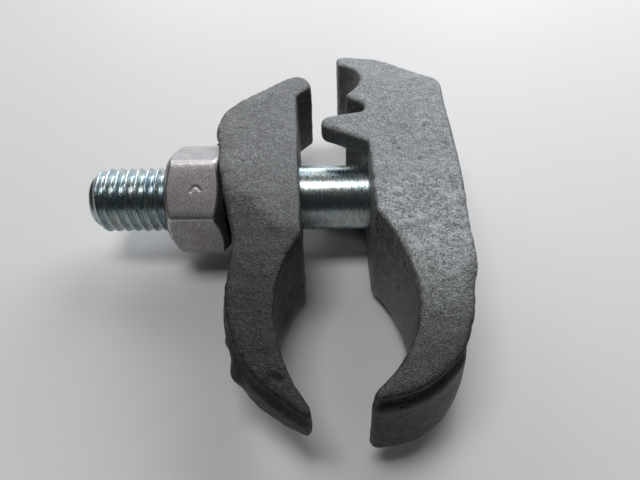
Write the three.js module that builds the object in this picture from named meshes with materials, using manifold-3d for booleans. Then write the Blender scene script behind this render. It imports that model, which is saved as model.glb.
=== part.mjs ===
// Two-jaw pipe clamp: a cast fixed jaw and a cast moving jaw on one half-inch bolt with a hex nut.
// Millimetres, +Z up. Inside the clamp group the bolt's axis is the X axis (nut end at -X), the arms
// that grip the pipe point along -Y, the toe end is +Y, and z = 0 is the jaws' middle plane.
// The finished part lies on the fixed jaw's side, with its origin under the middle of its own box.
import * as THREE from 'three';
import { mergeVertices } from 'three/addons/utils/BufferGeometryUtils.js';
import Module from 'manifold-3d';

const wasm = await Module();
wasm.setup();

// Half-inch, 13 threads to the inch.
const boltDiameter = 12.7;
const boltLength = 62.5;
const boltEndX = -48.3;
const boltChamfer = 1.6;
const hexFlats = 19.05;
const headHeight = 7.9;
const nutHeight = 11.1;
const nutFaceX = -20.9;
// How far the nut is turned about the bolt. At 0 two of its corners point along +Y and -Y.
const nutTurn = 0.66;
// The corners of the nut and the head are turned down by a cone from this far inside the flats.
const faceInset = 0.6;
const chamferSlope = Math.tan(Math.PI / 6);

// Clearances between pieces.
const touchGap = 0.3;
const boreDiameter = 13.6;
const nutRunGap = 0.4;
const pocketGap = 0.35;

// Fixed jaw.
const fixedHalf = 12.5;
const backX = 22.3;
const flatX = 6.6;
const lipTopY = 37.2;
const fixedTipY = -47.6;
const grooveRadius = 8.7;
const cheekInnerZ = 8.6;

// Moving jaw.
const hubHalf = 10.6;
const webHalf = 8.2;
const movingTipY = -47.9;

const curveSegments = 10;
const roundSegments = 48;
// Longer than the clamp in every direction.
const wide = 200;
// How far a cutting solid runs past the face that it cuts.
const cutPast = 1;

function toSolid(geometry) {
  const plain = geometry.clone();
  plain.deleteAttribute('normal');
  plain.deleteAttribute('uv');
  const merged = mergeVertices(plain, 1e-4);
  return new wasm.Manifold(new wasm.Mesh({
    numProp: 3,
    vertProperties: new Float32Array(merged.attributes.position.array),
    triVerts: new Uint32Array(merged.index.array),
  }));
}

function toGeometry(solid) {
  const mesh = solid.getMesh();
  const geometry = new THREE.BufferGeometry();
  geometry.setAttribute('position', new THREE.BufferAttribute(mesh.vertProperties, 3));
  geometry.setIndex(new THREE.BufferAttribute(mesh.triVerts, 1));
  geometry.computeVertexNormals();
  return geometry;
}

// A plan outline in X and Y, drawn out along Z from z = low to z = high.
function plate(shape, low, high) {
  const geometry = new THREE.ExtrudeGeometry(shape, {
    depth: high - low,
    bevelEnabled: false,
    curveSegments,
  });
  geometry.translate(0, 0, low);
  return toSolid(geometry);
}

// A closed outline, symmetrical about z = 0, from [along, half thickness] pairs.
function thicknessOutline(stations) {
  const outline = new THREE.Shape();
  stations.forEach(([along, half], index) => {
    if (index === 0) outline.moveTo(along, half);
    else outline.lineTo(along, half);
  });
  [...stations].reverse().forEach(([along, half]) => outline.lineTo(along, -half));
  return outline;
}

// How thick a jaw is along Y: the outline lies in Y and Z and is drawn out along X.
function thicknessAlongY(stations) {
  const geometry = new THREE.ExtrudeGeometry(thicknessOutline(stations), {
    depth: wide,
    bevelEnabled: false,
  });
  geometry.translate(0, 0, -wide / 2);
  geometry.rotateY(Math.PI / 2);
  geometry.rotateX(Math.PI / 2);
  return toSolid(geometry);
}

// How thick a jaw is along X: the outline lies in X and Z and is drawn out along Y.
function thicknessAlongX(stations) {
  const geometry = new THREE.ExtrudeGeometry(thicknessOutline(stations), {
    depth: wide,
    bevelEnabled: false,
  });
  geometry.translate(0, 0, -wide / 2);
  geometry.rotateX(Math.PI / 2);
  return toSolid(geometry);
}

// A round bar along X between two places.
function roundBar(diameter, fromX, toX) {
  const geometry = new THREE.CylinderGeometry(diameter / 2, diameter / 2, toX - fromX, roundSegments);
  geometry.rotateZ(Math.PI / 2);
  geometry.translate((fromX + toX) / 2, 0, 0);
  return toSolid(geometry);
}

// A hexagonal bar along X. With turn 0 two corners point along +Y and -Y.
function hexBar(acrossFlats, fromX, toX, turn = 0) {
  const cornerRadius = acrossFlats / Math.sqrt(3);
  const outline = new THREE.Shape();
  for (let corner = 0; corner < 6; corner += 1) {
    const angle = turn + (corner * Math.PI) / 3;
    const y = cornerRadius * Math.cos(angle);
    const z = cornerRadius * Math.sin(angle);
    if (corner === 0) outline.moveTo(y, z);
    else outline.lineTo(y, z);
  }
  const geometry = new THREE.ExtrudeGeometry(outline, { depth: toX - fromX, bevelEnabled: false });
  geometry.rotateX(Math.PI / 2);
  geometry.rotateZ(Math.PI / 2);
  geometry.translate(fromX, 0, 0);
  return toSolid(geometry);
}

// A hexagonal bar along X with its corners turned down by a cone at both ends.
function trimmedHexBar(acrossFlats, fromX, toX, turn = 0) {
  const outerRadius = acrossFlats / Math.sqrt(3) + cutPast;
  const faceRadius = acrossFlats / 2 - faceInset;
  const trim = (outerRadius - faceRadius) * chamferSlope;
  const geometry = new THREE.LatheGeometry([
    new THREE.Vector2(0, fromX),
    new THREE.Vector2(faceRadius, fromX),
    new THREE.Vector2(outerRadius, fromX + trim),
    new THREE.Vector2(outerRadius, toX - trim),
    new THREE.Vector2(faceRadius, toX),
    new THREE.Vector2(0, toX),
  ], roundSegments);
  geometry.rotateZ(-Math.PI / 2);
  return hexBar(acrossFlats, fromX, toX, turn).intersect(toSolid(geometry));
}

// Plan outline of the fixed jaw: lip, sloping shoulder, flat back, arm, cavity, flat, ridge, groove.
function fixedJawOutline() {
  const armCentre = { x: 5.4, y: -30.5 };
  const armReach = { x: 16.1, y: armCentre.y - fixedTipY };
  const cavityDeepest = { x: 12.3, y: -31.5 };
  const lowerRadius = 18;
  const upperRadius = 26;
  const ridge = { x: 2.6, y: 16.8 };
  const lip = { x: 0.7, y: 32.9 };
  const grooveCentre = { x: -3.2, y: 24.8 };

  const outline = new THREE.Shape();
  outline.moveTo(lip.x, lip.y);
  outline.lineTo(lip.x - 0.2, lipTopY - 0.6);
  outline.lineTo(lip.x + 0.4, lipTopY);
  outline.lineTo(3.7, lipTopY);
  outline.quadraticCurveTo(8.8, 36.9, 12.4, 33.2);
  outline.lineTo(backX - 1.2, 23.8);
  outline.quadraticCurveTo(backX, 22.6, backX, 20.5);
  outline.lineTo(backX, -12.5);
  outline.lineTo(armCentre.x + armReach.x, armCentre.y);
  outline.absellipse(armCentre.x, armCentre.y, armReach.x, armReach.y, 0, -Math.PI / 2, true);
  outline.lineTo(4.8, fixedTipY + 0.8);
  const lowerCentreX = cavityDeepest.x - lowerRadius;
  const tipAngle = -0.87;
  outline.absarc(lowerCentreX, cavityDeepest.y, lowerRadius, tipAngle, 0, false);
  const upperCentreX = cavityDeepest.x - upperRadius;
  outline.absarc(upperCentreX, cavityDeepest.y, upperRadius, 0, 0.58, false);
  outline.lineTo(flatX + 0.3, -15.4);
  outline.lineTo(flatX, -8);
  outline.lineTo(5.9, 12.4);
  outline.lineTo(5.8, 14.2);
  outline.lineTo(ridge.x + 1, ridge.y - 0.9);
  outline.lineTo(ridge.x, ridge.y);
  outline.absarc(
    grooveCentre.x,
    grooveCentre.y,
    grooveRadius,
    Math.atan2(ridge.y + 0.4 - grooveCentre.y, ridge.x + 0.5 - grooveCentre.x),
    Math.atan2(lip.y - 0.2 - grooveCentre.y, lip.x + 0.3 - grooveCentre.x),
    false,
  );
  return outline;
}

// The cheek is a blunt tooth. One stands on each side of the slot that the moving jaw runs in.
function cheekOutline() {
  const outline = new THREE.Shape();
  outline.moveTo(8, 12.2);
  outline.lineTo(5.8, 12.0);
  outline.lineTo(-1.2, 10.3);
  outline.quadraticCurveTo(-2.5, 9.8, -2.6, 8.2);
  outline.quadraticCurveTo(-2.6, 6.7, -1.6, 6.3);
  outline.lineTo(6.4, 1.8);
  outline.lineTo(8, 1.4);
  return outline;
}

function fixedJaw() {
  let body = plate(fixedJawOutline(), -fixedHalf, fixedHalf);
  body = body.add(plate(cheekOutline(), cheekInnerZ, fixedHalf));
  body = body.add(plate(cheekOutline(), -fixedHalf, -cheekInnerZ));
  body = body.intersect(thicknessAlongY([
    [41, 9.3],
    [23, fixedHalf],
    [-6, fixedHalf],
    [-16, 11.4],
    [-32, 9.4],
    [-50, 7.3],
  ]));
  const seatX = boltEndX + boltLength - touchGap;
  body = body.subtract(roundBar(boreDiameter, 0, backX + cutPast));
  return body.subtract(hexBar(hexFlats + 2 * pocketGap, seatX, backX + cutPast));
}

// Plan outline of the moving jaw: toe, inner flat, cavity, arm, waist, hub, sloping top.
function movingJawOutline() {
  const cavityDeepest = { x: -9.6, y: -29.5 };
  const upperRadius = 21;
  const lowerRadius = 25.5;
  const tip = { x: -3.3, y: -47.0 };

  const outline = new THREE.Shape();
  outline.moveTo(-10.2, 32.1);
  outline.quadraticCurveTo(-9.6, 32.9, -8.6, 32.9);
  outline.quadraticCurveTo(-6.9, 32.9, -6.0, 30.9);
  outline.lineTo(-5.2, 29.0);
  outline.lineTo(-5.2, 28.2);
  outline.lineTo(-8.3, 24.6);
  outline.lineTo(-5.7, -17.4);
  const upperStart = Math.PI - 0.61;
  outline.absarc(
    cavityDeepest.x + upperRadius,
    cavityDeepest.y,
    upperRadius,
    upperStart,
    Math.PI,
    false,
  );
  outline.absarc(
    cavityDeepest.x + lowerRadius,
    cavityDeepest.y,
    lowerRadius,
    Math.PI,
    Math.PI + 0.69,
    false,
  );
  outline.lineTo(tip.x, tip.y);
  outline.lineTo(tip.x - 0.4, movingTipY + 0.2);
  outline.lineTo(tip.x - 1.0, movingTipY);
  outline.lineTo(-10.5, -43.6);
  outline.quadraticCurveTo(-17.2, -38.5, -17.8, -27.0);
  outline.quadraticCurveTo(-17.2, -20.0, -18.0, -15.5);
  outline.lineTo(-22.3, 0.5);
  outline.quadraticCurveTo(-23.6, 5.5, -23.6, 10.0);
  outline.quadraticCurveTo(-23.6, 14.5, -21.6, 17.0);
  outline.lineTo(-10.2, 32.1);
  return outline;
}

// The room that the turning nut takes: a disc with a cone at its inner end, as the nut's corners have.
function nutSeatCut() {
  const runRadius = hexFlats / Math.sqrt(3) + nutRunGap;
  const faceRadius = hexFlats / 2 - faceInset + nutRunGap;
  const seatX = nutFaceX + touchGap;
  const geometry = new THREE.LatheGeometry([
    new THREE.Vector2(0, seatX - nutHeight),
    new THREE.Vector2(runRadius, seatX - nutHeight),
    new THREE.Vector2(runRadius, seatX - (runRadius - faceRadius) * chamferSlope),
    new THREE.Vector2(faceRadius, seatX),
    new THREE.Vector2(0, seatX),
  ], roundSegments);
  geometry.rotateZ(-Math.PI / 2);
  return toSolid(geometry);
}

function movingJaw() {
  let body = plate(movingJawOutline(), -hubHalf, hubHalf);
  body = body.intersect(thicknessAlongY([
    [36, 8.4],
    [26, 9.3],
    [18, hubHalf],
    [-8, hubHalf],
    [-18, 7.6],
    [-32, 5.6],
    [-50, 2.7],
  ]));
  body = body.intersect(thicknessAlongX([
    [-30, hubHalf],
    [-14.8, hubHalf],
    [-10.6, webHalf],
    [0, webHalf],
  ]));
  body = body.subtract(nutSeatCut());
  return body.subtract(roundBar(boreDiameter, nutFaceX - nutHeight, 0));
}

function bolt() {
  const headX = boltEndX + boltLength;
  const radius = boltDiameter / 2;
  const profile = [
    new THREE.Vector2(0, boltEndX),
    new THREE.Vector2(radius - boltChamfer, boltEndX),
    new THREE.Vector2(radius, boltEndX + boltChamfer),
    new THREE.Vector2(radius, headX + cutPast),
    new THREE.Vector2(0, headX + cutPast),
  ];
  const geometry = new THREE.LatheGeometry(profile, roundSegments);
  geometry.rotateZ(-Math.PI / 2);
  const shank = toSolid(geometry);
  return shank.add(trimmedHexBar(hexFlats, headX, headX + headHeight));
}

function nut() {
  const outerX = nutFaceX - nutHeight;
  return trimmedHexBar(hexFlats, outerX, nutFaceX, nutTurn)
    .subtract(roundBar(boltDiameter + 2 * touchGap, outerX - cutPast, nutFaceX + cutPast));
}

function piece(name, solid, colour, roughness, metalness) {
  const material = new THREE.MeshStandardMaterial({ color: colour, roughness, metalness });
  const mesh = new THREE.Mesh(toGeometry(solid), material);
  mesh.name = name;
  return mesh;
}

const castZinc = 0x6f7375;
const brightZinc = 0xa9b4b8;
const dullZinc = 0x9c9698;

const clamp = new THREE.Group();
clamp.add(piece('fixed_jaw', fixedJaw(), castZinc, 0.75, 0.6));
clamp.add(piece('moving_jaw', movingJaw(), castZinc, 0.75, 0.6));
clamp.add(piece('bolt', bolt(), brightZinc, 0.25, 1.0));
clamp.add(piece('hex_nut', nut(), dullZinc, 0.5, 0.9));
clamp.position.set(-(boltEndX + backX) / 2, -(lipTopY + movingTipY) / 2, fixedHalf);

const group = new THREE.Group();
group.add(clamp);

export default group;
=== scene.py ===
"""The looks of a cast two-jaw pipe clamp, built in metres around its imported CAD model.

Shapes are worked out in the clamp's own millimetres: the bolt's axis is X, z = 0 is the jaws' middle
plane, the pipe arms point along -Y, and the toe and the lip are at +Y. PLACE puts them in the frame.
"""

import math

import bmesh
import bpy
import numpy as np
from mathutils import Matrix, Vector, noise


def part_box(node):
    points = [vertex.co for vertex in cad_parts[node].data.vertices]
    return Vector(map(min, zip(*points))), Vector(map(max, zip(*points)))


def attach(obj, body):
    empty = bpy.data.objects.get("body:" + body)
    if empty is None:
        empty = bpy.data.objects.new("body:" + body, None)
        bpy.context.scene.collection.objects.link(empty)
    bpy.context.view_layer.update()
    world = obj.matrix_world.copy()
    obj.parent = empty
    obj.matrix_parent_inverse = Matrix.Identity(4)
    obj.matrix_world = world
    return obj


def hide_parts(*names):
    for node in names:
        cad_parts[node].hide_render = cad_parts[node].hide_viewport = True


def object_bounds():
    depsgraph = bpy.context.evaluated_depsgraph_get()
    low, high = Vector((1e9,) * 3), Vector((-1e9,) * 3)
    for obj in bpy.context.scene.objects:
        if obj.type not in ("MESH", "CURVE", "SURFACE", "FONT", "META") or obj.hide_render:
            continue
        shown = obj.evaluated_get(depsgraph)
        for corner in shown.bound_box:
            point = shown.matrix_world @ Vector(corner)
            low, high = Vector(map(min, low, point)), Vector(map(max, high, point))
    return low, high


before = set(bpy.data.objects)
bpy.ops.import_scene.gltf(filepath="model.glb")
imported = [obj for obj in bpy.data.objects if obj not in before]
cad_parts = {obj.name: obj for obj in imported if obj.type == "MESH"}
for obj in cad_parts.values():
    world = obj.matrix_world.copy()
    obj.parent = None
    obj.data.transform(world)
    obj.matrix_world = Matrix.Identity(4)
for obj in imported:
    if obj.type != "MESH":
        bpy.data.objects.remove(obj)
cad_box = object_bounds()

MM = 0.001

# The bolt: half an inch, 13 threads to the inch. Its places are along X, from the jaws' own zero.
PITCH = 25.4 / 13
THREAD_DEPTH = 0.6134 * PITCH
BOLT_RADIUS = 6.35
CAD_BOLT_END = -48.3
BOLT_END = -47.9
BOLT_CHAMFER = 1.6
THREAD_STOP = -14.8
THREAD_RUN_OUT = 2.2
HEAD_START = 14.2
HEAD_STOP = 22.1
HEAD_FILLET = 0.6

# The hexagon of the head and the nut. A 30 degree cone turns its corners down from the face's radius.
HEX_APOTHEM = 19.15 / 2
CHAMFER_SLOPE = math.tan(math.radians(30))
FACE_RADIUS = HEX_APOTHEM - 1.05

# The nut. Its turn is in radians about the bolt, and its corner is where its swept circle reaches.
NUT_OUTER = -32.0
NUT_INNER = -20.9
NUT_TURN = 0.66
NUT_CORNER = HEX_APOTHEM / math.cos(math.pi / 6)
THREAD_PLAY = 0.1
COUNTERSINK = 0.45
SEAT_GAP = 0.06

# The jaws: how far their flat sides stand from the middle plane, and how finely they are remeshed.
FIXED_SIDE = 12.5
HUB_SIDE = 10.6
WEB_SIDE = 8.2
MARKED_SIDE = 10.5
VOXEL = 0.34 * MM
ROUNDING_PASSES = 10
SOFTENING_PASSES = 30

bolt_low, bolt_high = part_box("bolt")
AXIS = (bolt_low + bolt_high) / 2
PLACE = Vector((bolt_low.x - CAD_BOLT_END * MM, AXIS.y, AXIS.z))


# ---------------------------------------------------------------- camera, floor and light


def placed(x, y, z):
    """A point of the clamp's own millimetres, in the frame."""
    return PLACE + Vector((x, y, z)) * MM


def make_camera():
    """Looks down at 47 degrees from in front of the arms, turned a little about its line of sight."""
    elevation, azimuth, roll = math.radians(47), math.radians(2.7), math.radians(-2.5)
    ahead = Vector((-math.sin(azimuth), math.cos(azimuth), 0))
    level = Vector((math.cos(azimuth), math.sin(azimuth), 0))
    forward = ahead * math.cos(elevation) - Vector((0, 0, math.sin(elevation)))
    upright = ahead * math.sin(elevation) + Vector((0, 0, math.cos(elevation)))
    right = level * math.cos(roll) + upright * math.sin(roll)
    up = upright * math.cos(roll) - level * math.sin(roll)
    data = bpy.data.cameras.new("camera")
    data.lens = 30.94
    data.clip_start = 0.005
    camera = bpy.data.objects.new("camera", data)
    bpy.context.scene.collection.objects.link(camera)
    turn = Matrix((right, up, -forward)).transposed().to_4x4()
    camera.matrix_world = Matrix.Translation(placed(0.46, -81.37, 74.90)) @ turn
    bpy.context.scene.camera = camera


def area_light(name, place, size, power, colour):
    """A rectangle of light at a place of the frame, in metres and watts, turned to the clamp's middle."""
    target = Vector((0.0, 0.0, 0.01))
    data = bpy.data.lights.new(name, "AREA")
    data.shape = "RECTANGLE"
    data.size, data.size_y = size
    data.energy = power
    data.color = colour
    light = bpy.data.objects.new(name, data)
    light.location = place
    toward = target - Vector(place)
    light.rotation_euler = toward.to_track_quat("-Z", "Y").to_euler()
    bpy.context.scene.collection.objects.link(light)


def make_light():
    """Low windows behind the clamp, a smaller light over it, and a faint room."""
    daylight = (0.94, 0.97, 1.0)
    lamplight = (1.0, 0.99, 0.97)
    area_light("far_window", (0.0, 0.57, 0.18), (0.50, 0.20), 1.0, daylight)
    area_light("right_window", (0.27, 0.42, 0.33), (0.46, 0.40), 2.2, daylight)
    area_light("left_window", (-0.24, 0.45, 0.32), (0.40, 0.36), 0.7, daylight)
    area_light("ceiling", (-0.09, -0.01, 0.60), (0.16, 0.28), 1.35, lamplight)
    world = bpy.data.worlds.new("room")
    bpy.context.scene.world = world
    world.use_nodes = True
    background = world.node_tree.nodes["Background"]
    background.inputs["Color"].default_value = (0.95, 0.97, 1.0, 1.0)
    background.inputs["Strength"].default_value = 0.03
    bpy.context.scene.view_settings.view_transform = "Standard"


def make_floor():
    """A pale table, just under the CAD model's lowest face."""
    half = 1.6
    drop = 0.05 * MM
    mesh = bpy.data.meshes.new("floor")
    corners = [(-half, -half, 0), (half, -half, 0), (half, half, 0), (-half, half, 0)]
    mesh.from_pydata(corners, [], [(0, 1, 2, 3)])
    floor = bpy.data.objects.new("floor", mesh)
    floor.location.z = cad_box[0].z - drop
    bpy.context.scene.collection.objects.link(floor)
    material, _, shader = new_material("pale_table")
    shader.inputs["Base Color"].default_value = (0.74, 0.73, 0.73, 1)
    shader.inputs["Roughness"].default_value = 0.55
    mesh.materials.append(material)


# ---------------------------------------------------------------- material helpers


def new_material(name):
    """A material, its node tree and its shader."""
    material = bpy.data.materials.new(name)
    material.use_nodes = True
    tree = material.node_tree
    return material, tree, tree.nodes["Principled BSDF"]


def put(tree, socket, value):
    """Links a socket to another node's output, or gives it a number or colour."""
    if isinstance(value, bpy.types.NodeSocket):
        tree.links.new(value, socket)
    elif isinstance(value, tuple):
        socket.default_value = (*value, 1.0) if len(value) == 3 else value
    else:
        socket.default_value = value


def own_place(tree, stretch=(1, 1, 1)):
    """The piece's own coordinates, in metres, stretched along its axes."""
    coordinates = tree.nodes.new("ShaderNodeTexCoord")
    mapping = tree.nodes.new("ShaderNodeMapping")
    mapping.inputs["Scale"].default_value = stretch
    tree.links.new(coordinates.outputs["Object"], mapping.inputs["Vector"])
    return mapping.outputs["Vector"]


def grain(tree, place, size_mm, detail=3.0, roughness=0.55, distortion=0.0):
    """Noise from 0 to 1 with features of about this size."""
    node = tree.nodes.new("ShaderNodeTexNoise")
    node.inputs["Scale"].default_value = 1 / (size_mm * MM)
    node.inputs["Detail"].default_value = detail
    node.inputs["Roughness"].default_value = roughness
    node.inputs["Distortion"].default_value = distortion
    tree.links.new(place, node.inputs["Vector"])
    return node.outputs["Fac"]


def cells(tree, place, size_mm):
    """The distance to the nearest of many scattered points, about this far apart."""
    node = tree.nodes.new("ShaderNodeTexVoronoi")
    node.inputs["Scale"].default_value = 1 / (size_mm * MM)
    tree.links.new(place, node.inputs["Vector"])
    return node.outputs["Distance"]


def spread(tree, value, low, high, to_low=0.0, to_high=1.0):
    """Maps low..high to to_low..to_high with soft ends, and holds it there."""
    node = tree.nodes.new("ShaderNodeMapRange")
    node.interpolation_type = "SMOOTHSTEP"
    put(tree, node.inputs["Value"], value)
    node.inputs["From Min"].default_value = low
    node.inputs["From Max"].default_value = high
    node.inputs["To Min"].default_value = to_low
    node.inputs["To Max"].default_value = to_high
    return node.outputs["Result"]


def reckon(tree, operation, a, b):
    """A sum, product or maximum of two values."""
    node = tree.nodes.new("ShaderNodeMath")
    node.operation = operation
    put(tree, node.inputs[0], a)
    put(tree, node.inputs[1], b)
    return node.outputs["Value"]


def blend_colours(tree, share, first, second):
    """The first colour where share is 0 and the second where it is 1."""
    first_socket, second_socket, colour_output = 6, 7, 2
    node = tree.nodes.new("ShaderNodeMix")
    node.data_type = "RGBA"
    put(tree, node.inputs["Factor"], share)
    put(tree, node.inputs[first_socket], first)
    put(tree, node.inputs[second_socket], second)
    return node.outputs[colour_output]


def add_bump(tree, shader, height, depth_mm):
    """Makes the surface look raised by this depth where height is 1."""
    node = tree.nodes.new("ShaderNodeBump")
    node.inputs["Strength"].default_value = 1.0
    node.inputs["Distance"].default_value = depth_mm * MM
    put(tree, node.inputs["Height"], height)
    put(tree, shader.inputs["Normal"], node.outputs["Normal"])


def surface_curvature(tree):
    """Above 0.5 on raised edges and below it in hollows, from the mesh's own curvature."""
    node = tree.nodes.new("ShaderNodeNewGeometry")
    return node.outputs["Pointiness"]


# ---------------------------------------------------------------- materials


def near_to(tree, place, centre, radius_mm):
    """1 around a point of the clamp's own millimetres, falling to 0 at the radius."""
    node = tree.nodes.new("ShaderNodeVectorMath")
    node.operation = "DISTANCE"
    tree.links.new(place, node.inputs[0])
    node.inputs[1].default_value = placed(*centre)
    return spread(tree, node.outputs["Value"], radius_mm * MM, 0.35 * radius_mm * MM)


def along_arm(tree, place, start, stop):
    """0 where the arm starts and 1 where it stops, at these places along Y in millimetres."""
    parts = tree.nodes.new("ShaderNodeSeparateXYZ")
    tree.links.new(place, parts.inputs["Vector"])
    return spread(tree, parts.outputs["Y"], placed(0, stop, 0).y, placed(0, start, 0).y, 1.0, 0.0)


def galvanised_casting(name, light, dark, peel, bump_mm, arm_shade, patch):
    """Hot-dip zinc on a sand casting: dull grey metal with a fine grain, bright specks and dark pits,
    with painted shade in its hollows and towards the arm's tip.

    peel is how deep the wrinkles are beside the sand's grain, and bump_mm is how deep both are.
    The arm's painted shade, darkening it towards its tip, is given by where along Y it starts and stops
    and the share of the tone it keeps.
    patch is the centre, radius and strength of a crust of rougher and brighter zinc.
    """
    material, tree, shader = new_material(name)
    place = own_place(tree)
    clouds = grain(tree, place, 9.0, 3.0, 0.6)
    mottle = grain(tree, place, 1.3, 4.0, 0.7, 0.3)
    sand = grain(tree, place, 0.30, 3.0, 0.7)
    tone = blend_colours(tree, spread(tree, clouds, 0.30, 0.72), dark, light)
    lighter = tuple(1.6 * part for part in light)
    darker = tuple(0.4 * part for part in dark)
    tone = blend_colours(tree, spread(tree, mottle, 0.48, 0.72, 0.0, 0.5), tone, lighter)
    tone = blend_colours(tree, spread(tree, sand, 0.51, 0.64, 0.0, 0.9), tone, lighter)
    tone = blend_colours(tree, spread(tree, sand, 0.49, 0.37, 0.0, 0.95), tone, darker)
    # Lighter on raised edges.
    raised_edges = spread(tree, surface_curvature(tree), 0.52, 0.60, 0.0, 0.35)
    tone = blend_colours(tree, raised_edges, tone, lighter)
    # Painted shade: the casting is darker in the mesh's hollows.
    hollow_shade = spread(tree, surface_curvature(tree), 0.48, 0.40, 0.0, 0.6)
    tone = blend_colours(tree, hollow_shade, tone, darker)
    patch_centre, patch_radius, patch_strength = patch
    torn = spread(tree, grain(tree, place, 1.2, 4.0, 0.75), 0.44, 0.58, 0.1, 1.0)
    crust = reckon(tree, "MULTIPLY", near_to(tree, place, patch_centre, patch_radius), torn)
    crust = reckon(tree, "MULTIPLY", crust, patch_strength)
    tone = blend_colours(tree, crust, tone, tuple(2.6 * part for part in light))
    specks = spread(tree, cells(tree, place, 0.8), 0.28, 0.12)
    patchy = spread(tree, grain(tree, place, 6.0, 2.0), 0.52, 0.62, 0.0, 0.5)
    crusted = reckon(tree, "MULTIPLY", crust, 2.0)
    bright = reckon(tree, "MULTIPLY", specks, reckon(tree, "MAXIMUM", patchy, crusted))
    tone = blend_colours(tree, bright, tone, (0.58, 0.59, 0.58))
    # Painted shade: the arm's tone is blended towards black towards its tip.
    arm_shade_start, arm_shade_stop, arm_shade_keep = arm_shade
    arm_shade_share = reckon(tree, "MULTIPLY", along_arm(tree, place, arm_shade_start, arm_shade_stop), 1 - arm_shade_keep)
    tone = blend_colours(tree, arm_shade_share, tone, (0.0, 0.0, 0.0))
    put(tree, shader.inputs["Base Color"], tone)
    shader.inputs["Metallic"].default_value = 0.55
    put(tree, shader.inputs["Roughness"], spread(tree, mottle, 0.3, 0.7, 0.56, 0.42))
    wrinkled = reckon(tree, "MULTIPLY", mottle, peel)
    height = reckon(tree, "ADD", wrinkled, reckon(tree, "MULTIPLY", sand, 0.55))
    height = reckon(tree, "ADD", height, reckon(tree, "MULTIPLY", bright, 0.6))
    add_bump(tree, shader, height, bump_mm)
    return material


def bright_zinc():
    """Clear blue-white zinc plate: bright metal with faint yellow and blue films and fine marks."""
    material, tree, shader = new_material("bright_zinc_plate")
    place = own_place(tree)
    film = grain(tree, place, 3.5, 3.0, 0.6)
    bluish, yellowish = (0.40, 0.50, 0.55), (0.52, 0.57, 0.56)
    tone = blend_colours(tree, spread(tree, film, 0.38, 0.62), bluish, yellowish)
    drawn = grain(tree, own_place(tree, (1.0, 0.3, 0.3)), 0.4, 4.0, 0.7)
    tone = blend_colours(tree, spread(tree, drawn, 0.52, 0.70, 0.0, 0.6), tone, (0.20, 0.25, 0.28))
    put(tree, shader.inputs["Base Color"], tone)
    shader.inputs["Metallic"].default_value = 1.0
    put(tree, shader.inputs["Roughness"], spread(tree, drawn, 0.3, 0.7, 0.20, 0.34))
    add_bump(tree, shader, drawn, 0.05)
    return material


def dull_zinc():
    """Satin zinc plate on a hot-forged nut: silver, fine sandy grain, and painted highlights along its
    edges.
    """
    material, tree, shader = new_material("dull_zinc_plate")
    place = own_place(tree)
    cloud = grain(tree, place, 3.5, 3.0, 0.6)
    fine = grain(tree, place, 0.28, 3.0, 0.7)
    darker, lighter = (0.31, 0.29, 0.293), (0.385, 0.368, 0.37)
    tone = blend_colours(tree, spread(tree, cloud, 0.36, 0.66), darker, lighter)
    tone = blend_colours(tree, spread(tree, fine, 0.50, 0.36, 0.0, 0.75), tone, (0.17, 0.155, 0.165))
    tone = blend_colours(tree, spread(tree, fine, 0.53, 0.68, 0.0, 0.8), tone, (0.66, 0.64, 0.66))
    # Painted highlight: the nut's raised edges are painted near white.
    raised_edges = spread(tree, surface_curvature(tree), 0.505, 0.535, 0.0, 0.9)
    tone = blend_colours(tree, raised_edges, tone, (0.86, 0.85, 0.83))
    put(tree, shader.inputs["Base Color"], tone)
    shader.inputs["Metallic"].default_value = 0.95
    put(tree, shader.inputs["Roughness"], spread(tree, fine, 0.3, 0.7, 0.46, 0.36))
    add_bump(tree, shader, fine, 0.035)
    return material


# ---------------------------------------------------------------- mesh helpers


def new_piece(name, mesh, material, body, slot, *nodes):
    """Smooth-shades the mesh and makes it a piece that rides on a body and stands for CAD nodes."""
    mesh.materials.clear()
    mesh.materials.append(material)
    mesh.polygons.foreach_set("use_smooth", [True] * len(mesh.polygons))
    mesh.polygons.foreach_set("material_index", [0] * len(mesh.polygons))
    mesh.update()
    piece = bpy.data.objects.new(name, mesh)
    bpy.context.scene.collection.objects.link(piece)
    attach(piece, body)
    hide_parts(*nodes)
    return piece


def soft_min(a, b, width):
    """The smaller of a and b, rounded over where they are within width of each other."""
    share = np.clip(0.5 + 0.5 * (b - a) / width, 0, 1)
    return b + (a - b) * share - width * share * (1 - share)


def smooth_step(value, low, high):
    """From 0 at low to 1 at high, with soft ends."""
    share = np.clip((value - low) / (high - low), 0, 1)
    return share * share * (3 - 2 * share)


def turned_mesh(name, rows, columns, closed):
    """Faces through rows of (x, radius per column) about the bolt's axis. The columns start at +Y.

    Closed rows make a ring. Otherwise the first and last row close in to a point on the axis.
    """
    angles = np.arange(columns) * 2 * math.pi / columns
    points = []
    faces = []
    for x, radius in rows:
        radius = np.broadcast_to(radius, (columns,))
        y, z = radius * np.cos(angles), radius * np.sin(angles)
        points += [tuple(placed(x, b, c)) for b, c in zip(y, z)]
    bands = len(rows) if closed else len(rows) - 1
    for band in range(bands):
        here, there = band * columns, (band + 1) % len(rows) * columns
        for j in range(columns):
            k = (j + 1) % columns
            faces.append((here + j, here + k, there + k, there + j))
    if not closed:
        for row, x in ((0, rows[0][0]), (len(rows) - 1, rows[-1][0])):
            points.append(tuple(placed(x, 0, 0)))
            for j in range(columns):
                faces.append((len(points) - 1, row * columns + j, row * columns + (j + 1) % columns))
    mesh = bpy.data.meshes.new(name)
    mesh.from_pydata(points, [], faces)
    work = bmesh.new()
    work.from_mesh(mesh)
    bmesh.ops.recalc_face_normals(work, faces=work.faces)
    work.to_mesh(mesh)
    work.free()
    return mesh


# ---------------------------------------------------------------- bolt and nut


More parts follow.
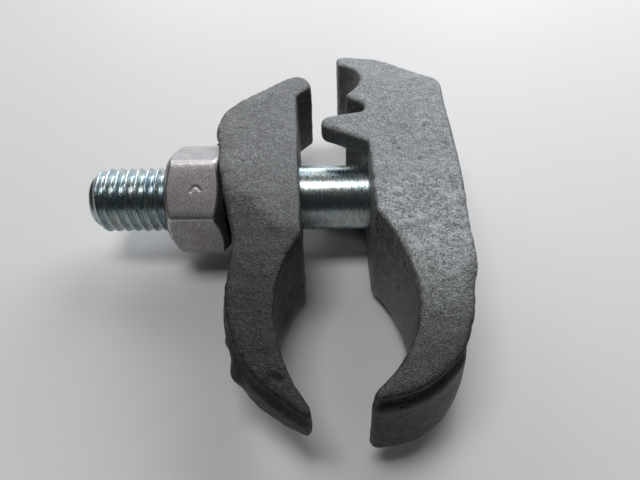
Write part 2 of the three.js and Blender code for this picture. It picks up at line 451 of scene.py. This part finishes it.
def thread_height(x, angles):
    """From 0 in the root to 1 on the crest of the right-hand thread, at x and around the bolt."""
    phase = (x / PITCH - angles / (2 * math.pi)) % 1.0
    ramp = np.abs(phase - 0.5) * 2
    return smooth_step(ramp, 0.0, 0.96) ** 1.35


def hexagon(angles, turn):
    """The radius of a hexagon with slightly rounded corners."""
    corner_loss, corner_reach = 0.20, 0.04
    from_flat = (angles - turn) % (math.pi / 3) - math.pi / 6
    from_corner = math.pi / 6 - np.abs(from_flat)
    return HEX_APOTHEM / np.cos(from_flat) - corner_loss * np.exp(-from_corner / corner_reach)


def trimmed_hexagon(x, start, stop, angles, turn):
    """A hexagonal bar's radius at x, with its corners turned down by a 30 degree cone at both ends."""
    inset = min(x - start, stop - x)
    cone = FACE_RADIUS + inset / CHAMFER_SLOPE
    return soft_min(hexagon(angles, turn), cone, 0.75)


def even_places(start, stop, step):
    """Places from start to stop, about a step apart."""
    count = max(2, round(abs(stop - start) / step) + 1)
    return np.linspace(start, stop, count)


def hexagon_places(start, stop):
    """Closer together near both ends, where the corners are turned down."""
    fine_step, coarse_step, reach = 0.09, 0.22, 1.9
    return np.concatenate([
        even_places(start, start + reach, fine_step),
        even_places(start + reach, stop - reach, coarse_step)[1:-1],
        even_places(stop - reach, stop, fine_step),
    ])


def make_bolt(material):
    """From the thread's end face along the thread and shank to the head's outer face."""
    columns = 168
    angles = np.arange(columns) * 2 * math.pi / columns
    rows = [(BOLT_END, radius) for radius in (1.2, 2.4, 3.4, 4.2)]
    for x in even_places(BOLT_END, THREAD_STOP, 0.14):
        cut = THREAD_DEPTH * (1 - thread_height(x, angles))
        cut = cut * smooth_step(THREAD_STOP - x, 0.0, THREAD_RUN_OUT)
        point = BOLT_RADIUS - BOLT_CHAMFER + (x - BOLT_END) * 0.8
        rows.append((x, soft_min(BOLT_RADIUS - cut, np.full(columns, point), 0.35)))
    fillet_start = HEAD_START - HEAD_FILLET
    rows += [(x, BOLT_RADIUS) for x in even_places(THREAD_STOP, fillet_start, 0.5)[1:]]
    for x in even_places(fillet_start, HEAD_START, 0.12)[1:]:
        rise = HEAD_FILLET - math.sqrt(max(0.0, HEAD_FILLET ** 2 - (x - fillet_start) ** 2))
        rows.append((x, BOLT_RADIUS + 0.4 * rise))
    rows += [(HEAD_START, radius) for radius in (7.2, 8.0, 8.6)]
    rows += [
        (x, trimmed_hexagon(x, HEAD_START, HEAD_STOP, angles, 0.0))
        for x in hexagon_places(HEAD_START, HEAD_STOP)
    ]
    rows += [(HEAD_STOP, radius) for radius in (8.4, 7.2, 5.4, 3.2, 1.4)]
    mesh = turned_mesh("bolt_threaded", rows, columns, closed=False)
    return new_piece("bolt_threaded", mesh, material, "fixed", "bright_zinc", "bolt")


def make_nut(material):
    """Out along the hexagon, in over the inner face, back through the thread and over the outer face."""
    columns = 288
    angles = np.arange(columns) * 2 * math.pi / columns
    mouth = BOLT_RADIUS + COUNTERSINK
    rows = [
        (x, trimmed_hexagon(x, NUT_OUTER, NUT_INNER, angles, NUT_TURN))
        for x in hexagon_places(NUT_OUTER, NUT_INNER)
    ]
    face = [8.7, 8.2, 7.6, 7.1]
    rows += [(NUT_INNER, radius) for radius in face]
    for x in even_places(NUT_INNER, NUT_OUTER, 0.13):
        groove = BOLT_RADIUS + THREAD_PLAY - THREAD_DEPTH * (1 - thread_height(x, angles))
        countersink = mouth - min(x - NUT_OUTER, NUT_INNER - x)
        rows.append((x, -soft_min(-groove, np.full(columns, -countersink), 0.12)))
    rows += [(NUT_OUTER, radius) for radius in reversed(face)]
    mesh = turned_mesh("hex_nut_threaded", rows, columns, closed=True)
    points = mesh_points(mesh)
    nick = [(-26.6, -6.1, 7.5), (-26.1, -5.4, 8.0), (-25.5, -5.3, 8.1), (-24.8, -5.9, 7.6)]
    cut = scratch(points, nick, 0.35, 0.10)
    set_points(mesh, points - mesh_normals(mesh) * cut[:, None])
    return new_piece("hex_nut_threaded", mesh, material, "nut", "dull_zinc", "hex_nut")


# ---------------------------------------------------------------- cast jaws


def closed_copy(node):
    """A copy of a CAD node's mesh with its split corners joined again."""
    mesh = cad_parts[node].data.copy()
    work = bmesh.new()
    work.from_mesh(mesh)
    bmesh.ops.remove_doubles(work, verts=work.verts, dist=1e-6)
    work.to_mesh(mesh)
    work.free()
    return mesh


def remeshed(mesh):
    """The same solid as an even net of small faces."""
    holder = bpy.data.objects.new("remesh_holder", mesh)
    bpy.context.scene.collection.objects.link(holder)
    modifier = holder.modifiers.new("remesh", "REMESH")
    modifier.mode = "VOXEL"
    modifier.voxel_size = VOXEL
    modifier.adaptivity = 0
    graph = bpy.context.evaluated_depsgraph_get()
    made = bpy.data.meshes.new_from_object(holder.evaluated_get(graph), depsgraph=graph)
    bpy.data.objects.remove(holder)
    return made


def mesh_points(mesh):
    """The vertices, in the clamp's own millimetres."""
    flat = np.empty(len(mesh.vertices) * 3)
    mesh.vertices.foreach_get("co", flat)
    return (flat.reshape(-1, 3) - np.array(PLACE)) / MM


def set_points(mesh, points):
    mesh.vertices.foreach_set("co", (points * MM + np.array(PLACE)).ravel())
    mesh.update()


def mesh_normals(mesh):
    flat = np.empty(len(mesh.vertices) * 3)
    mesh.vertices.foreach_get("normal", flat)
    return flat.reshape(-1, 3)


def relaxed(mesh, points, rounds, share=0.5):
    """Moves each vertex part of the way to the middle of its neighbours, so that edges round over."""
    flat = np.empty(len(mesh.edges) * 2, dtype=np.int64)
    mesh.edges.foreach_get("vertices", flat)
    first, second = flat[0::2], flat[1::2]
    count = np.bincount(flat, minlength=len(points))[:, None]
    for _ in range(rounds):
        total = np.empty_like(points)
        for axis in range(3):
            column = points[:, axis]
            total[:, axis] = np.bincount(first, column[second], len(points))
            total[:, axis] += np.bincount(second, column[first], len(points))
        points = points + share * (total / count - points)
    return points


def lumps(points, size, seed):
    """Smooth noise from about -1 to 1 at each point, with features of this size in millimetres."""
    offset = Vector((seed * 17.3, seed * 5.1, seed * 9.7))
    return np.array([noise.noise(Vector(p) / size + offset) for p in points])


def dent(points, centre, radius, depth):
    """How deep a round dent, or how high a round lump, is at each vertex."""
    away = np.linalg.norm(points - np.array(centre), axis=1) / radius
    return depth * np.clip(1 - away * away, 0, 1) ** 2


def scratch(points, route, radius, depth):
    """How deep a groove along a short route of points is at each vertex."""
    cut = np.zeros(len(points))
    for a, b in zip(route, route[1:]):
        a, b = np.array(a, float), np.array(b, float)
        along = np.clip((points - a) @ (b - a) / ((b - a) @ (b - a)), 0, 1)
        away = np.linalg.norm(points - a - along[:, None] * (b - a), axis=1) / radius
        cut = np.maximum(cut, depth * np.clip(1 - away * away, 0, 1) ** 2)
    return cut


def between(value, low, high, soft):
    """1 from low to high, falling to 0 over the soft distance outside them."""
    return smooth_step(value, low - soft, low) * (1 - smooth_step(value, high, high + soft))


def clear_of_nut(points):
    """Sets back along the bolt whatever would touch the nut as it turns on its seat."""
    x, y, z = points.T
    radius = np.hypot(y, z)
    chamfer = np.maximum(radius - FACE_RADIUS, 0) * CHAMFER_SLOPE
    limit = NUT_INNER + SEAT_GAP - chamfer
    touching = (x < limit) & (radius < NUT_CORNER)
    points[touching, 0] = limit[touching]
    return points


def cast_jaw(name, node, body, material, seed, shaping):
    """A CAD jaw with rounded edges, an uneven skin and the marks of its casting.

    shaping is what moves its surface, what softens it further and what is cut into it. The seed is for
    the unevenness, which fades out at the bolt's hole.
    """
    sculpt, softened, marks = shaping
    mesh = remeshed(closed_copy(node))
    points = relaxed(mesh, mesh_points(mesh), ROUNDING_PASSES)
    points = relaxed(mesh, points, SOFTENING_PASSES, 0.5 * softened(points)[:, None])
    set_points(mesh, points)
    points = points + sculpt(points, mesh_normals(mesh))
    set_points(mesh, relaxed(mesh, points, 2))
    points, normals = mesh_points(mesh), mesh_normals(mesh)
    uneven = 0.16 * lumps(points, 9.0, seed) + 0.08 * lumps(points, 2.6, seed + 1)
    uneven += 0.05 * lumps(points, 1.1, seed + 2)
    bore = np.hypot(points[:, 1], points[:, 2])
    uneven *= smooth_step(bore, 7.4, 9.0)
    uneven -= marks(points)
    set_points(mesh, clear_of_nut(points + normals * uneven[:, None]))
    return new_piece(name, mesh, material, body, "galvanised_casting", node)


def fixed_rim(y):
    """How far the fixed jaw's near face stands from its middle plane."""
    return np.interp(y, (-50, -32, -16, -6, 23, 41), (7.3, 9.4, 11.4, FIXED_SIDE, FIXED_SIDE, 9.3))


def sculpt_fixed(points, normals):
    """A waist and a crease under the near rim of the arm's end, over a flared lower wall."""
    _, y, z = points.T
    below = fixed_rim(y) - z
    outer = np.clip(normals[:, 0] - normals[:, 1], 0, 1)
    crease = between(below, 1.5, 2.2, 1.3) * smooth_step(-y, 30.0, 37.0)
    waist = between(below, 3.4, 8.0, 6.0) * between(-y, 30.0, 37.0, 4.0)
    flare = smooth_step(below, 5.0, 11.0) * smooth_step(-y, 40.0, 45.0)
    swell = between(-y, 22.0, 27.0, 5.0)
    push = -1.2 * crease - 0.9 * waist + 0.25 * flare + 0.35 * swell
    return normals * (push * outer)[:, None]


def soften_fixed(points):
    """The near rim of the arm's end is rounded over."""
    _, y, z = points.T
    below = fixed_rim(y) - z
    return 0.8 * smooth_step(-y, 26.0, 34.0) * (1 - smooth_step(below, 1.6, 3.0))


def mark_fixed(points):
    """A hooked scratch and a few pits in the flat side."""
    side = FIXED_SIDE
    hook = [(19.6, 1.2, side), (20.5, 0.4, side), (20.3, -0.9, side)]
    pits = ((11.0, 1.0, 0.5), (11.6, -0.5, 0.6), (15.1, -3.5, 0.5), (16.8, 6.2, 0.45))
    cut = scratch(points, hook, 0.5, 0.25)
    for x, y, radius in pits:
        cut = np.maximum(cut, dent(points, (x, y, side), radius, 0.35))
    return cut


def sink_to_web(points):
    """How far the hub's sides, which step down to the web in the CAD model, move to slope down slowly."""
    x, y, z = points.T
    stepped = np.interp(x, (-14.8, -10.6), (HUB_SIDE, WEB_SIDE))
    gradual = WEB_SIDE + (HUB_SIDE - WEB_SIDE) * (1 - smooth_step(x, -19.5, -8.0))
    across = np.interp(y, (-18, -8, 18, 26, 36), (7.6, HUB_SIDE, HUB_SIDE, 9.3, 8.4))
    near_side = smooth_step(np.abs(z), stepped - 3.0, stepped - 0.4)
    has_step = smooth_step(across - stepped, -0.6, 0.3)
    return np.sign(z) * (gradual - stepped) * near_side * has_step


def fill_seat_rim(points, normals):
    """How far the rim beside the nut's seat stands out again past the seat's cut."""
    x, y, z = points.T
    beside = smooth_step(np.abs(z), 9.0, 10.3) * between(y, -3.5, 4.4, 1.2)
    seat = beside * (1 - smooth_step(x, -20.6, -19.8))
    missing = np.clip(0.5 + 0.19 * (y + 3), 0.3, 1.7)
    return missing * seat * smooth_step(-normals[:, 0], 0.0, 0.5)


def sculpt_moving(points, normals):
    """The hub's sides slope down to the web, and the arm's end has a ledge and two lumps outside."""
    _, y, z = points.T
    move = np.zeros_like(points)
    move[:, 2] = sink_to_web(points)
    move[:, 0] -= fill_seat_rim(points, normals)
    rim = np.interp(y, (-50, -32, -18), (2.7, 5.6, 7.6))
    outer = np.clip(-normals[:, 0] - normals[:, 1], 0, 1)
    crease = between(rim - z, 0.9, 1.5, 0.9) * smooth_step(-y, 31.0, 36.0)
    ledge = smooth_step(rim - z, 2.0, 3.0) * between(-y, 26.0, 46.0, 3.0)
    lump = dent(points, (-15.6, -39.4, -0.6), 3.2, 1.4)
    small_lump = dent(points, (-17.7, -34.0, 0.2), 1.8, 0.7)
    push = (-0.35 * crease + 0.45 * ledge + lump + small_lump) * outer
    return move + normals * push[:, None]


def soften_moving(points):
    """The rim beside the nut's seat is rounded over."""
    x, y, z = points.T
    beside = smooth_step(np.abs(z), 8.2, 9.4) * between(y, -4.5, 8.0, 2.0)
    return beside * (1 - smooth_step(x, -19.5, -18.5))


def mark_moving(points):
    """Two scratches and a pit in the hub's side, and a torn place near the arm's tip."""
    side = MARKED_SIDE
    curved = [(-19.4, 8.8, side), (-18.4, 9.5, side), (-17.3, 9.1, side)]
    straight = [(-18.1, -8.5, side), (-14.0, -8.6, side)]
    torn = [(-10.0, -43.2, 3.8), (-9.2, -42.0, 4.0), (-7.9, -42.4, 3.9)]
    cut = scratch(points, curved, 0.45, 0.2)
    cut = np.maximum(cut, scratch(points, straight, 0.4, 0.14))
    cut = np.maximum(cut, dent(points, (-17.0, -1.0, side), 0.7, 0.3))
    return np.maximum(cut, scratch(points, torn, 0.8, 0.4))


# ---------------------------------------------------------------- the clamp

make_camera()
make_light()
make_floor()

make_bolt(bright_zinc())
make_nut(dull_zinc())
cast_jaw(
    "fixed_jaw_casting",
    "fixed_jaw",
    "fixed",
    galvanised_casting(
        "galvanised_fixed",
        light=(0.188, 0.194, 0.196),
        dark=(0.140, 0.146, 0.149),
        peel=0.4,
        bump_mm=0.24,
        arm_shade=(-20.0, -42.0, 0.26),
        patch=((14.5, -19.0, 12.0), 20.0, 0.42),
    ),
    seed=3,
    shaping=(sculpt_fixed, soften_fixed, mark_fixed),
)
cast_jaw(
    "moving_jaw_casting",
    "moving_jaw",
    "moving",
    galvanised_casting(
        "galvanised_moving",
        light=(0.146, 0.148, 0.149),
        dark=(0.108, 0.110, 0.112),
        peel=0.9,
        bump_mm=0.32,
        arm_shade=(6.0, -32.0, 0.20),
        patch=((-19.5, -1.0, 10.0), 4.0, 0.25),
    ),
    seed=11,
    shaping=(sculpt_moving, soften_moving, mark_moving),
)
